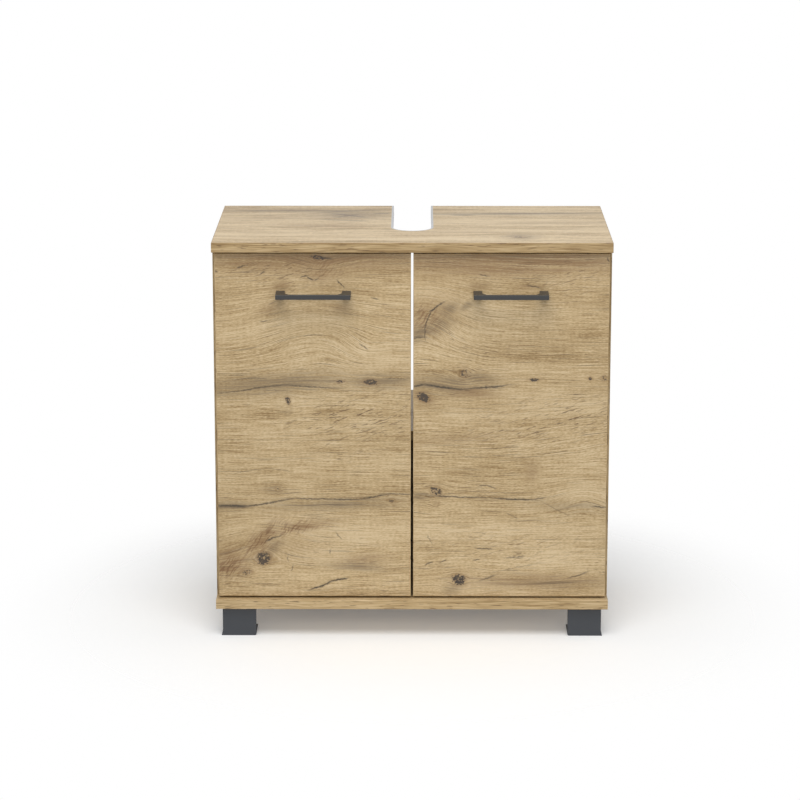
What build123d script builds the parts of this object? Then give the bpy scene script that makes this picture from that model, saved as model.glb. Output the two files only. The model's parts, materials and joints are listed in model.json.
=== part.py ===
"""Two-door bathroom vanity unit with a siphon cut-out, an open upper back and corner feet.

Millimetres. The origin is on the floor, at the centre of the overall box.
+X is the viewer's right, +Y runs from the doors to the wall, +Z is up.
"""
import math
import os
from build123d import *

# Carcass
WIDTH = 600.0
PANEL_DEPTH = 330.0
CARCASS_HEIGHT = 570.0
BOARD = 15.0
EDGE_BAND = 1.0
ARRIS = 0.5
SHELF_TOP = 254.0
SHELF_SETBACK = 22.0
BACK_THICKNESS = 3.0
BACK_RECESS = 1.0
BACK_MARGIN = 1.5

# Doors
DOOR_THICKNESS = 15.0
DOOR_SETBACK = 9.5
DOOR_CARCASS_GAP = 3.5
DOOR_REVEAL = 4.0
DOOR_END_GAP = 3.0
DOOR_CENTRE_GAP = 3.5

# Siphon cut-out and its plastic edging, which has a tongue in a groove
CUTOUT_WIDTH = 65.0
CUTOUT_FRONT = 101.0
EDGING_WALL = 3.0
TONGUE_LENGTH = 6.0
TONGUE_HEIGHT = 1.8
TONGUE_PLAY = 0.1

# Corner feet
FOOT_HEIGHT = 45.0
FOOT_WIDTH = 51.5
FOOT_DEPTH = 48.0
FOOT_WALL = 3.0
FOOT_INSET = 9.5
FOOT_FLARE = 2.0
FOOT_FLARE_HEIGHT = 9.5
FOOT_CORNER = 3.0
FOOT_SCREW_INSET = 17.0

# Bow handles
HANDLE_LENGTH = 112.0
HANDLE_HOLES = 96.0
HANDLE_REACH = 35.0
HANDLE_HEIGHT = 7.0
HANDLE_BAR = 6.0
HANDLE_LEG = 13.0
HANDLE_GUSSET_X = 6.0
HANDLE_GUSSET_Y = 10.0
HANDLE_ARRIS = 0.6
HANDLE_DROP = 60.0
HANDLE_INSET = 146.0
HANDLE_SCREW = 4.0
HANDLE_SCREW_GRIP = 9.0
HANDLE_SCREW_HEAD = 8.0
HANDLE_SCREW_HEAD_HEIGHT = 2.0

# Concealed cup hinges with one pivot each
HINGE_INSET = 90.0
CUP_DIAMETER = 35.0
CUP_DEPTH = 12.0
CUP_EDGE = 3.0
CUP_WALL = 1.0
CUP_PLAY = 0.1
FLANGE_THICKNESS = 1.2
FLANGE_RIM = 0.6
EAR_WIDTH = 14.0
EAR_SPAN = 59.0
EAR_OFFSET = 6.0
EAR_CORNER = 4.0
CUP_SCREW_SPACING = 48.0
PIVOT_EDGE = 7.5
PIVOT_DEPTH = 7.5
PIN_RADIUS = 1.35
PIN_LENGTH = 13.8
PIN_PLAY = 0.05
LUG_WIDTH = 2.4
LUG_REACH = 3.2
NOSE_WIDTH = 8.6
NOSE_PLAY = 0.3
EYE_RADIUS = 2.3
NECK_BELOW = 2.2
NECK_ABOVE = 1.5
NECK_REACH = 10.0
HOOK_WALL = 3.5
HOOK_ROOT = 10.0
HOOK_OUTER_ROUND = 2.5
HOOK_INNER_ROUND = 1.0
ARM_START = 2.0
ARM_END = 60.0
ARM_WIDTH = 17.0
ARM_WALL = 1.5
ARM_WEB = 1.8
ARM_CHEEK = 4.5
ARM_CORNER = 3.0
SADDLE_START = 12.0
SADDLE_PLAY = 0.3
PLATE_SETBACK = 37.0
PLATE_WIDTH = 16.0
PLATE_LENGTH = 50.0
PLATE_THICKNESS = 2.5
PLATE_CORNER = 4.0
PLATE_SCREW_SPACING = 32.0
ARM_SCREW_FRONT = 22.0
ARM_SCREW_REAR = 42.0
ARM_SCREW = 5.0
ARM_SCREW_HEAD = 8.0
ARM_SCREW_GRIP = 6.0

# Sides of the turned pieces, which are many-sided to keep their faces few
SHANK_SIDES = 6
HEAD_SIDES = 8
PIN_SIDES = 12
CAM_SIDES = 16
CUP_SIDES = 24

# Small wood screws of the hinges and feet
SCREW = 3.5
SCREW_GRIP = 11.0
SCREW_HEAD = 7.0
SCREW_HEAD_HEIGHT = 1.8
SCREW_PLAY = 0.25
TIGHT_PLAY = 0.01

# Knock-down fittings
CAM_DIAMETER = 15.0
CAM_DEPTH = 12.0
CAM_DISTANCE = 34.0
CAM_PLAY = 0.1
CAM_POCKET = 7.8
CAM_CROSS = 7.0
CAM_CROSS_WIDTH = 1.3
CAM_CROSS_DEPTH = 1.5
BOLT_THREAD = 5.0
BOLT_THREAD_LENGTH = 11.0
BOLT_SHAFT = 6.0
BOLT_NECK = 3.6
BOLT_NECK_LENGTH = 3.5
BOLT_HEAD = 6.6
BOLT_HEAD_LENGTH = 4.5
BOLT_BORE = 8.0
BOLT_INSET = 50.0
DOWEL = 8.0
DOWEL_LENGTH = 30.0
DOWEL_SHORT_END = 10.0
DOWEL_BORE_SPARE = 1.0
DOWEL_INSET = 82.0
DOWEL_PLAY = 0.05

# Back panel nails
NAIL = 1.6
NAIL_LENGTH = 20.0
NAIL_HEAD = 3.6
NAIL_HEAD_HEIGHT = 0.6
NAILS_ACROSS = 4
NAILS_UP = 3
NAIL_END_INSET = 40.0

# Heights
bottom_under = FOOT_HEIGHT
bottom_top = bottom_under + BOARD
top_surface = bottom_under + CARCASS_HEIGHT
top_under = top_surface - BOARD
shelf_top = bottom_top + SHELF_TOP
shelf_under = shelf_top - BOARD
shelf_middle = shelf_top - BOARD / 2
door_low = bottom_top + DOOR_END_GAP
door_high = top_under - DOOR_END_GAP
hinge_heights = {"lower": door_low + HINGE_INSET, "upper": door_high - HINGE_INSET}
handle_z = door_high - HANDLE_DROP

# Depths, from the handles' fronts to the wall
overall_depth = PANEL_DEPTH + HANDLE_REACH - DOOR_SETBACK
rear_y = overall_depth / 2
front_y = rear_y - PANEL_DEPTH
door_front = front_y + DOOR_SETBACK
door_back = door_front + DOOR_THICKNESS
side_front = door_back + DOOR_CARCASS_GAP
side_rear = rear_y - BACK_RECESS - BACK_THICKNESS
shelf_front = side_front + SHELF_SETBACK

# Widths, given for the left half
side_outer = -WIDTH / 2
side_inner = side_outer + BOARD
side_middle = side_outer + BOARD / 2
door_outer = side_outer + DOOR_REVEAL
door_inner = -DOOR_CENTRE_GAP / 2
handle_x = door_inner - HANDLE_INSET

# Hinge places, given for the left door
cup_x = door_outer + CUP_EDGE + CUP_DIAMETER / 2
ear_x = cup_x + EAR_OFFSET
pin_x = door_outer + PIVOT_EDGE
pin_y = door_back - PIVOT_DEPTH
hook_x = pin_x + NECK_REACH
arm_top = hook_x + HOOK_WALL
web_under = arm_top - ARM_WEB
plate_y = side_front + PLATE_SETBACK
screw_bore = SCREW / 2 + TIGHT_PLAY
cup_radius = CUP_DIAMETER / 2 - CUP_PLAY
cup_bore_radius = cup_radius - CUP_WALL
eye_bore = (PIN_RADIUS + PIN_PLAY) / math.cos(math.pi / PIN_SIDES)

UP, DOWN = (0, 0, 1), (0, 0, -1)
BACKWARD, FORWARD = (0, 1, 0), (0, -1, 0)
RIGHT, LEFT = (1, 0, 0), (-1, 0, 0)


def block(x, y, z):
    """Box between low and high limits on each axis."""
    centre = Pos((x[0] + x[1]) / 2, (y[0] + y[1]) / 2, (z[0] + z[1]) / 2)
    return centre * Box(x[1] - x[0], y[1] - y[0], z[1] - z[0])


def prism(start, direction, radius, length, sides=SHANK_SIDES):
    """Many-sided rod or bore along an axis; opposite directions give the same corners."""
    first_corner = BACKWARD if direction in (LEFT, RIGHT) else RIGHT
    plane = Plane(origin=start, x_dir=first_corner, z_dir=direction)
    return plane * extrude(RegularPolygon(radius, sides), length)


def moved(point, direction, distance):
    """Point at a distance along a unit direction."""
    return tuple(p + d * distance for p, d in zip(point, direction))


def opposite(direction):
    return tuple(-d for d in direction)


def mirrored(shape):
    """The same piece on the other half of the cabinet."""
    return mirror(shape, about=Plane.YZ)


def cut(body, tools):
    for tool in tools:
        body -= tool
    return body


def banded_board(x, y, z, sides):
    """A board's core and the edge band glued on the named sides."""
    whole = block(x, y, z)
    limits = {"x": list(x), "y": list(y), "z": list(z)}
    for side in sides:
        axis, end = side
        limits[axis][0 if end == "-" else 1] += EDGE_BAND if end == "-" else -EDGE_BAND
    core = block(limits["x"], limits["y"], limits["z"])
    band = whole - core
    reach = {"x": x, "y": y, "z": z}
    rim = []
    for side in sides:
        axis = {"x": Axis.X, "y": Axis.Y, "z": Axis.Z}[side[0]]
        level = reach[side[0]][0 if side[1] == "-" else 1]
        near = band.faces().filter_by(axis).filter_by_position(axis, level - ARRIS, level + ARRIS)
        rim += near.edges()
    thin = min(x[1] - x[0], y[1] - y[0], z[1] - z[0])
    across = {x[1] - x[0]: Axis.X, y[1] - y[0]: Axis.Y, z[1] - z[0]: Axis.Z}[thin]
    long_edges = [edge for edge in ShapeList(rim).filter_by(across, reverse=True)
                  if edge.length > thin]
    return core, chamfer(long_edges, ARRIS)


# Knock-down fittings: each has a point on the seam and the way into the threaded board

def joint_places():
    """Seam points of the left half, as (name, point, way into the threaded board, cam's way out)."""
    places = []
    rows = {"bolt": BOLT_INSET, "dowel": DOWEL_INSET}
    for kind, inset in rows.items():
        for y in (side_front + inset, side_rear - inset):
            places.append((kind, (side_middle, y, top_under), UP, RIGHT))
            places.append((kind, (side_middle, y, bottom_top), DOWN, RIGHT))
        for y in (shelf_front + inset, side_rear - inset):
            places.append((kind, (side_inner, y, shelf_middle), LEFT, DOWN))
    return places


def cam_bolt(point, into):
    away = opposite(into)
    neck = CAM_DISTANCE - BOLT_HEAD_LENGTH / 2 - BOLT_NECK_LENGTH
    bolt = prism(point, into, BOLT_THREAD / 2, BOLT_THREAD_LENGTH)
    bolt += prism(point, away, BOLT_SHAFT / 2, neck)
    bolt += prism(moved(point, away, neck), away, BOLT_NECK / 2, BOLT_NECK_LENGTH)
    head = moved(point, away, neck + BOLT_NECK_LENGTH)
    return bolt + prism(head, away, BOLT_HEAD / 2, BOLT_HEAD_LENGTH)


def cam_face(point, into, out):
    """Middle of the cam's face, on the board's surface."""
    return moved(moved(point, opposite(into), CAM_DISTANCE), out, BOARD / 2)


def cam_lock(point, into, out):
    """Cam with a cross recess and a pocket that takes the bolt's head."""
    face = Plane(origin=cam_face(point, into, out), x_dir=into, z_dir=out)
    body = prism((0, 0, -CAM_DEPTH), UP, CAM_DIAMETER / 2 - CAM_PLAY, CAM_DEPTH, CAM_SIDES)
    pocket_length = CAM_DIAMETER / 2 + BOLT_HEAD_LENGTH
    body -= prism((-BOLT_HEAD_LENGTH, 0, -BOARD / 2), RIGHT, CAM_POCKET / 2, pocket_length)
    for size in ((CAM_CROSS, CAM_CROSS_WIDTH), (CAM_CROSS_WIDTH, CAM_CROSS)):
        body -= Pos(0, 0, -CAM_CROSS_DEPTH / 2) * Box(size[0], size[1], CAM_CROSS_DEPTH)
    return face * body


def dowel(point, into):
    start = moved(point, into, DOWEL_SHORT_END)
    return prism(start, opposite(into), DOWEL / 2 - DOWEL_PLAY, DOWEL_LENGTH)


def thread_bores(places):
    """Holes in the board that the fittings' threads and short ends go into."""
    bores = []
    for kind, point, into, out in places:
        if kind == "bolt":
            bores.append(prism(point, into, BOLT_THREAD / 2, BOLT_THREAD_LENGTH))
        else:
            bores.append(prism(point, into, DOWEL / 2, DOWEL_SHORT_END + DOWEL_BORE_SPARE))
    return bores


def edge_bores(places):
    """Holes in the end of the other board, with the cams' seats."""
    bores = []
    for kind, point, into, out in places:
        away = opposite(into)
        if kind == "bolt":
            bores.append(prism(point, away, BOLT_BORE / 2, CAM_DISTANCE))
            seat = cam_face(point, into, out)
            bores.append(prism(seat, opposite(out), CAM_DIAMETER / 2, CAM_DEPTH, CAM_SIDES))
        else:
            long_end = DOWEL_LENGTH - DOWEL_SHORT_END
            bores.append(prism(point, away, DOWEL / 2, long_end + DOWEL_BORE_SPARE))
    return bores


def places_into(direction):
    return [place for place in joint_places() if place[2] == direction]


# Carcass boards

def cutout_prism(half_width, low, high, rear):
    """Slot with a round front end that runs out at the rear."""
    centre_y = front_y + CUTOUT_FRONT + CUTOUT_WIDTH / 2
    slot = block((-half_width, half_width), (centre_y, rear), (low, high))
    round_end = Pos(0, centre_y, (low + high) / 2) * Cylinder(half_width, high - low)
    return slot + round_end


tongue_middle = top_under + BOARD / 2
past_rear = rear_y + BOARD


def top_panel():
    core, band = banded_board((-WIDTH / 2, WIDTH / 2), (front_y, rear_y),
                              (top_under, top_surface), ("x-", "x+", "y-"))
    half = CUTOUT_WIDTH / 2
    groove = TONGUE_HEIGHT / 2 + TONGUE_PLAY
    core -= cutout_prism(half, top_under, top_surface, past_rear)
    core -= cutout_prism(half + TONGUE_LENGTH + TONGUE_PLAY, tongue_middle - groove,
                         tongue_middle + groove, past_rear)
    bores = thread_bores(places_into(UP))
    return cut(core, bores + [mirrored(bore) for bore in bores]), band


def cutout_edging():
    half = CUTOUT_WIDTH / 2
    edging = cutout_prism(half, top_under, top_surface, rear_y)
    edging += cutout_prism(half + TONGUE_LENGTH, tongue_middle - TONGUE_HEIGHT / 2,
                           tongue_middle + TONGUE_HEIGHT / 2, rear_y)
    return edging - cutout_prism(half - EDGING_WALL, top_under, top_surface, past_rear)


def bottom_panel():
    core, band = banded_board((-WIDTH / 2, WIDTH / 2), (front_y, side_rear),
                              (bottom_under, bottom_top), ("x-", "x+", "y-"))
    bores = thread_bores(places_into(DOWN))
    bores += [prism(point, UP, screw_bore, SCREW_GRIP) for point in foot_screw_points()]
    return cut(core, bores + [mirrored(bore) for bore in bores]), band


def side_panel():
    core, band = banded_board((side_outer, side_inner), (side_front, side_rear),
                              (bottom_top, top_under), ("y-",))
    bores = edge_bores(places_into(UP) + places_into(DOWN)) + thread_bores(places_into(LEFT))
    for z in hinge_heights.values():
        for point in plate_screw_points(z):
            bores.append(prism(point, LEFT, screw_bore, SCREW_GRIP))
    return cut(core, bores), band


def shelf():
    core, band = banded_board((side_inner, -side_inner), (shelf_front, side_rear),
                              (shelf_under, shelf_top), ("y-",))
    bores = edge_bores(places_into(LEFT))
    return cut(core, bores + [mirrored(bore) for bore in bores]), band


def back_panel():
    return block((side_outer + BACK_MARGIN, -side_outer - BACK_MARGIN),
                 (side_rear, side_rear + BACK_THICKNESS),
                 (bottom_under + BACK_MARGIN, shelf_top - BACK_MARGIN))


def nail_points():
    """Nail places on the back panel, along the bottom board, the shelf and both sides."""
    points = []
    reach = side_inner + NAIL_END_INSET
    for i in range(NAILS_ACROSS):
        x = reach - 2 * reach * i / (NAILS_ACROSS - 1)
        points.append((x, bottom_under + BOARD / 2))
        points.append((x, shelf_middle))
    low, high = bottom_top + NAIL_END_INSET, shelf_under - NAIL_END_INSET
    for i in range(NAILS_UP):
        z = low + (high - low) * i / (NAILS_UP - 1)
        points.append((side_middle, z))
        points.append((-side_middle, z))
    return points


def nail_seats():
    """Places on the back panel's rear face that the nails' heads stand on."""
    return [(x, side_rear + BACK_THICKNESS, z) for x, z in nail_points()]


# Corner feet

def foot_corner():
    """Outer front corner of the front left foot."""
    return side_outer + FOOT_INSET, front_y + FOOT_INSET


def foot_screw_points():
    """Screw places under the bottom board, for the two left feet."""
    x0, y0 = foot_corner()
    diagonal = ((FOOT_SCREW_INSET, FOOT_DEPTH - FOOT_SCREW_INSET),
                (FOOT_WIDTH - FOOT_SCREW_INSET, FOOT_SCREW_INSET))
    front = [(x0 + dx, y0 + dy, bottom_under) for dx, dy in diagonal]
    rear = [(x, front_y + side_rear - y, z) for x, y, z in front]
    return front + rear


def front_foot():
    """Two outer walls, a floor plate and a flange; the outer side flares at the floor."""
    x0, y0 = foot_corner()
    x1, y1 = x0 + FOOT_WIDTH, y0 + FOOT_DEPTH
    outline = Polyline((x0 - FOOT_FLARE, 0), (x1, 0), (x1, bottom_under), (x0, bottom_under),
                       (x0, FOOT_FLARE_HEIGHT), close=True)
    profile = make_face(outline)
    inner_foot = profile.vertices().sort_by_distance((x1, 0))[0]
    profile = fillet([inner_foot], FOOT_CORNER)
    face = Plane(origin=(0, y0, 0), x_dir=RIGHT, z_dir=FORWARD)
    solid = face * extrude(profile, -FOOT_DEPTH)
    room = block((x0 + FOOT_WALL, x1 + FOOT_WALL), (y0 + FOOT_WALL, y1 + FOOT_WALL),
                 (FOOT_WALL, bottom_under - FOOT_WALL))
    foot = solid - room
    for x, y, z in foot_screw_points():
        foot -= prism((x, y, bottom_under), DOWN, SCREW / 2 + SCREW_PLAY, FOOT_WALL)
    return foot


def rear_foot():
    """The front foot turned round to the rear corner."""
    middle_y = (front_y + side_rear) / 2
    return mirror(front_foot(), about=Plane(origin=(0, middle_y, 0), z_dir=BACKWARD))


def pan_screw(seat, into, grip, size, head, head_height):
    """Screw whose head stands on a seat and whose shank runs into it."""
    shank = prism(seat, into, size / 2, grip)
    return shank + prism(seat, opposite(into), head / 2, head_height, HEAD_SIDES)


def foot_screws():
    screws = []
    for x, y, z in foot_screw_points():
        seat = (x, y, z - FOOT_WALL)
        screws.append(pan_screw(seat, UP, FOOT_WALL + SCREW_GRIP, SCREW, SCREW_HEAD,
                                SCREW_HEAD_HEIGHT))
    return screws + [mirrored(screw) for screw in screws]


# Doors and handles

def handle_screw_points():
    half = HANDLE_HOLES / 2
    return [(handle_x + offset, door_back, handle_z) for offset in (-half, half)]


def door():
    core, band = banded_board((door_outer, door_inner), (door_front, door_back),
                              (door_low, door_high), ("x-", "x+", "z-", "z+"))
    bores = []
    for x, y, z in handle_screw_points():
        bores.append(prism((x, y, z), FORWARD, HANDLE_SCREW / 2 + SCREW_PLAY, DOOR_THICKNESS))
    for z in hinge_heights.values():
        bores.append(prism((cup_x, door_back, z), FORWARD, CUP_DIAMETER / 2, CUP_DEPTH, CUP_SIDES))
        for point in cup_screw_points(z):
            bores.append(prism(point, FORWARD, screw_bore, SCREW_GRIP))
    return cut(core, bores), band


def handle():
    """Flat bow: a bar on two legs, with gussets in the inner corners."""
    half = HANDLE_LENGTH / 2
    bar_back = HANDLE_REACH - HANDLE_BAR
    leg = half - HANDLE_LEG
    right_half = [(leg, 0), (half, 0), (half, HANDLE_REACH)]
    right_inner = [(leg - HANDLE_GUSSET_X, bar_back), (leg, bar_back - HANDLE_GUSSET_Y)]
    left_half = [(-x, y) for x, y in reversed(right_half)]
    left_inner = [(-x, y) for x, y in reversed(right_inner)]
    outline = make_face(Polyline(*right_half, *left_half, *left_inner, *right_inner, close=True))
    plane = Plane(origin=(handle_x, door_front, handle_z - HANDLE_HEIGHT / 2),
                  x_dir=LEFT, z_dir=UP)
    bow = plane * extrude(outline, HANDLE_HEIGHT)
    front_face = bow.faces().sort_by(Axis.Y)[0]
    bow = fillet(front_face.edges(), HANDLE_ARRIS)
    for x, y, z in handle_screw_points():
        bow -= prism((x, door_front, z), FORWARD, HANDLE_SCREW / 2 + TIGHT_PLAY, HANDLE_SCREW_GRIP)
    return bow


def handle_screws():
    return [pan_screw(point, FORWARD, DOOR_THICKNESS + HANDLE_SCREW_GRIP, HANDLE_SCREW,
                      HANDLE_SCREW_HEAD, HANDLE_SCREW_HEAD_HEIGHT) for point in handle_screw_points()]


# Hinges of the left door, each at its own height

def cup_screw_points(z):
    half = CUP_SCREW_SPACING / 2
    return [(ear_x, door_back, z + offset) for offset in (-half, half)]


def plate_screw_points(z):
    half = PLATE_SCREW_SPACING / 2
    return [(side_inner, plate_y, z + offset) for offset in (-half, half)]


def hinge_cup(z):
    """Cup with a flange on the door's back and two lugs that carry the pin."""
    mouth = (cup_x, door_back, z)
    flange_radius = CUP_DIAMETER / 2 + FLANGE_RIM
    ears = block((ear_x - EAR_WIDTH / 2, ear_x + EAR_WIDTH / 2),
                 (door_back, door_back + FLANGE_THICKNESS), (z - EAR_SPAN / 2, z + EAR_SPAN / 2))
    ears = chamfer(ears.edges().filter_by(Axis.Y), EAR_CORNER)
    cup = ears + prism(mouth, BACKWARD, flange_radius, FLANGE_THICKNESS, CUP_SIDES)
    cup += prism(mouth, FORWARD, cup_radius, CUP_DEPTH, CUP_SIDES)
    top = moved(mouth, BACKWARD, FLANGE_THICKNESS)
    cup -= prism(top, FORWARD, cup_bore_radius, FLANGE_THICKNESS + CUP_DEPTH - CUP_WALL, CUP_SIDES)
    shell = prism(mouth, FORWARD, cup_radius - CUP_WALL / 2, CUP_DEPTH - CUP_WALL / 2, CUP_SIDES)
    inner = NOSE_WIDTH / 2 + NOSE_PLAY
    for low in (z + inner, z - inner - LUG_WIDTH):
        lug = block((pin_x - LUG_REACH, pin_x + LUG_REACH),
                    (door_back - CUP_DEPTH, pin_y + LUG_REACH), (low, low + LUG_WIDTH))
        cup += lug & shell
    cup -= hinge_pin(z, PIN_RADIUS + TIGHT_PLAY)
    for point in cup_screw_points(z):
        cup -= prism(point, BACKWARD, SCREW / 2 + SCREW_PLAY, FLANGE_THICKNESS)
    return cup


def hinge_pin(z, radius):
    return prism((pin_x, pin_y, z - PIN_LENGTH / 2), UP, radius, PIN_LENGTH, PIN_SIDES)


def hinge_arm(z):
    """Hook that reaches the pin inside the cup, on a channel that sits on the saddle."""
    low, high = z - NOSE_WIDTH / 2, z + NOSE_WIDTH / 2
    neck_front, neck_back = pin_y - NECK_BELOW, pin_y + NECK_ABOVE
    root_y = side_front + HOOK_ROOT
    outline = Polyline((pin_x, neck_front), (arm_top, neck_front), (arm_top, root_y),
                       (hook_x, root_y), (hook_x, neck_back), (pin_x, neck_back), close=True)
    hook = make_face(outline)
    for corner, radius in (((arm_top, neck_front), HOOK_OUTER_ROUND),
                           ((hook_x, neck_back), HOOK_INNER_ROUND)):
        hook = fillet(hook.vertices().sort_by_distance(corner)[:1], radius)
    arm = Pos(0, 0, low) * extrude(hook, NOSE_WIDTH)
    arm += prism((pin_x, pin_y, low), UP, EYE_RADIUS, high - low, PIN_SIDES)
    y0, y1 = side_front + ARM_START, side_front + ARM_END
    half = ARM_WIDTH / 2
    channel = block((arm_top - ARM_CHEEK, arm_top), (y0, y1), (z - half, z + half))
    channel = chamfer(channel.edges().filter_by(Axis.X), ARM_CORNER)
    room = half - ARM_WALL
    channel -= block((arm_top - ARM_CHEEK, web_under), (y0, y1), (z - room, z + room))
    arm += channel
    arm -= prism((pin_x, pin_y, low), UP, eye_bore, high - low, PIN_SIDES)
    for y in arm_screw_levels():
        arm -= prism((web_under, y, z), RIGHT, ARM_SCREW / 2 + SCREW_PLAY, ARM_WEB)
    return arm


def arm_screw_levels():
    return side_front + ARM_SCREW_FRONT, side_front + ARM_SCREW_REAR


def hinge_plate(z):
    """Screwed wings with a saddle that fills the arm's channel."""
    wings = block((side_inner, side_inner + PLATE_THICKNESS),
                  (plate_y - PLATE_WIDTH / 2, plate_y + PLATE_WIDTH / 2),
                  (z - PLATE_LENGTH / 2, z + PLATE_LENGTH / 2))
    wings = chamfer(wings.edges().filter_by(Axis.X), PLATE_CORNER)
    half = ARM_WIDTH / 2 - ARM_WALL - SADDLE_PLAY
    saddle = block((side_inner, web_under), (side_front + SADDLE_START, side_front + ARM_END),
                   (z - half, z + half))
    plate = wings + saddle
    for point in plate_screw_points(z):
        plate -= prism(point, RIGHT, SCREW / 2 + SCREW_PLAY, PLATE_THICKNESS)
    for y in arm_screw_levels():
        plate -= prism((web_under, y, z), LEFT, ARM_SCREW / 2 + TIGHT_PLAY, ARM_SCREW_GRIP)
    return plate


def left_hinge_screws():
    """Screws of the left side: the mounting plates' and the arms'."""
    plate_screws, arm_screws = [], []
    for z in hinge_heights.values():
        for x, y, height in plate_screw_points(z):
            seat = (x + PLATE_THICKNESS, y, height)
            plate_screws.append(pan_screw(seat, LEFT, PLATE_THICKNESS + SCREW_GRIP, SCREW,
                                          SCREW_HEAD, SCREW_HEAD_HEIGHT))
        for y in arm_screw_levels():
            arm_screws.append(pan_screw((arm_top, y, z), LEFT, ARM_WEB + ARM_SCREW_GRIP, ARM_SCREW,
                                        ARM_SCREW_HEAD, SCREW_HEAD_HEIGHT))
    return plate_screws, arm_screws


def cup_screws():
    screws = []
    for z in hinge_heights.values():
        for x, y, height in cup_screw_points(z):
            seat = (x, y + FLANGE_THICKNESS, height)
            screws.append(pan_screw(seat, FORWARD, FLANGE_THICKNESS + SCREW_GRIP, SCREW, SCREW_HEAD,
                                    SCREW_HEAD_HEIGHT))
    return screws


# Assembly

def both_halves(shapes):
    return shapes + [mirrored(shape) for shape in shapes]


def carcass_nodes():
    nodes = {}
    nodes["top_panel"], nodes["top_panel_edge_band"] = top_panel()
    nodes["cutout_edging"] = cutout_edging()
    nodes["bottom_panel"], nodes["bottom_panel_edge_band"] = bottom_panel()
    side, side_band = side_panel()
    nodes["left_side_panel"], nodes["left_side_edge_band"] = side, side_band
    nodes["right_side_panel"], nodes["right_side_edge_band"] = mirrored(side), mirrored(side_band)
    nodes["shelf"], nodes["shelf_edge_band"] = shelf()
    shanks = [prism(seat, FORWARD, NAIL / 2, NAIL_LENGTH) for seat in nail_seats()]
    nodes["back_panel"] = cut(back_panel(), shanks)
    for name in ("left_side_panel", "right_side_panel", "bottom_panel", "shelf"):
        nodes[name] = cut(nodes[name], shanks)
    nodes["back_panel_nails"] = [pan_screw(seat, FORWARD, NAIL_LENGTH, NAIL, NAIL_HEAD, NAIL_HEAD_HEIGHT)
                                 for seat in nail_seats()]
    bolts = [place for place in joint_places() if place[0] == "bolt"]
    dowels = [place for place in joint_places() if place[0] == "dowel"]
    nodes["cam_bolts"] = both_halves([cam_bolt(point, into) for _, point, into, _ in bolts])
    nodes["cam_locks"] = both_halves([cam_lock(point, into, out) for _, point, into, out in bolts])
    nodes["wood_dowels"] = both_halves([dowel(point, into) for _, point, into, _ in dowels])
    nodes["front_left_foot"], nodes["rear_left_foot"] = front_foot(), rear_foot()
    for end in ("front", "rear"):
        nodes[f"{end}_right_foot"] = mirrored(nodes[f"{end}_left_foot"])
    nodes["foot_screws"] = foot_screws()
    for level, z in hinge_heights.items():
        arm, plate = hinge_arm(z), hinge_plate(z)
        nodes[f"{level}_left_hinge_arm"], nodes[f"{level}_right_hinge_arm"] = arm, mirrored(arm)
        nodes[f"{level}_left_hinge_plate"] = plate
        nodes[f"{level}_right_hinge_plate"] = mirrored(plate)
    plate_screws, arm_screws = left_hinge_screws()
    nodes["hinge_plate_screws"] = both_halves(plate_screws)
    nodes["hinge_arm_screws"] = both_halves(arm_screws)
    return nodes


def left_door_nodes():
    nodes = {}
    nodes["left_door"], nodes["left_door_edge_band"] = door()
    nodes["left_handle"] = handle()
    nodes["left_handle_screws"] = handle_screws()
    for level, z in hinge_heights.items():
        nodes[f"{level}_left_hinge_cup"] = hinge_cup(z)
    nodes["left_cup_screws"] = cup_screws()
    nodes["left_hinge_pins"] = [hinge_pin(z, PIN_RADIUS) for z in hinge_heights.values()]
    return nodes


def mirrored_nodes(left):
    right = {}
    for name, shape in left.items():
        other = [mirrored(one) for one in shape] if isinstance(shape, list) else mirrored(shape)
        right[name.replace("left", "right")] = other
    return right


def write(nodes):
    os.makedirs("parts", exist_ok=True)
    for name, shape in nodes.items():
        solid = Compound(shape) if isinstance(shape, list) else shape
        export_step(solid, f"parts/{name}.step")


left_door_pieces = left_door_nodes()
write({**carcass_nodes(), **left_door_pieces, **mirrored_nodes(left_door_pieces)})
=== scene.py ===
"""Looks of a two-door vanity unit: oak decor, metal and plastic finishes, screws, floor, light and camera.

The frame is in metres. Finishes read Object coordinates, turned into millimetres.
"""
import json
import math
from collections import namedtuple

import bmesh
import bpy
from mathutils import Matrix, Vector


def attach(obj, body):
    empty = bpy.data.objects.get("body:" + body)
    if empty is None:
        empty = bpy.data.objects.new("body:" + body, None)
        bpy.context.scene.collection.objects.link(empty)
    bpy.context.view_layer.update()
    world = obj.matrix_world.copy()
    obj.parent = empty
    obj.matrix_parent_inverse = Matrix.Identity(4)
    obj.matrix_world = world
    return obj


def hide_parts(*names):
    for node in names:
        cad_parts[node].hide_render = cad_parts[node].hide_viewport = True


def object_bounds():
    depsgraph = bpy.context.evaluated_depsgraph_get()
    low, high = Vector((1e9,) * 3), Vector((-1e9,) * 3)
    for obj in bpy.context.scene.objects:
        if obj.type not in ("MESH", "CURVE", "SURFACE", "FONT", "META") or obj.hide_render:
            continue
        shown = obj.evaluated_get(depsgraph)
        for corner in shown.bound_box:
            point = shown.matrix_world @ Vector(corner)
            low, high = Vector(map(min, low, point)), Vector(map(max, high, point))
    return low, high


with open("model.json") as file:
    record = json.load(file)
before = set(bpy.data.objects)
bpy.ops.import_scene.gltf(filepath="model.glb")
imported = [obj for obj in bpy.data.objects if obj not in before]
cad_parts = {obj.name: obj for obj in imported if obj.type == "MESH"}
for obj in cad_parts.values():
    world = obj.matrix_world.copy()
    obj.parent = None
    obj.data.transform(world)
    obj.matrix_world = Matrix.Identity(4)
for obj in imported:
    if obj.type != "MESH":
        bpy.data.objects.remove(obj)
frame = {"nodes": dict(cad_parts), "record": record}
cad_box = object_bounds()
nodes = frame["nodes"]

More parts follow.
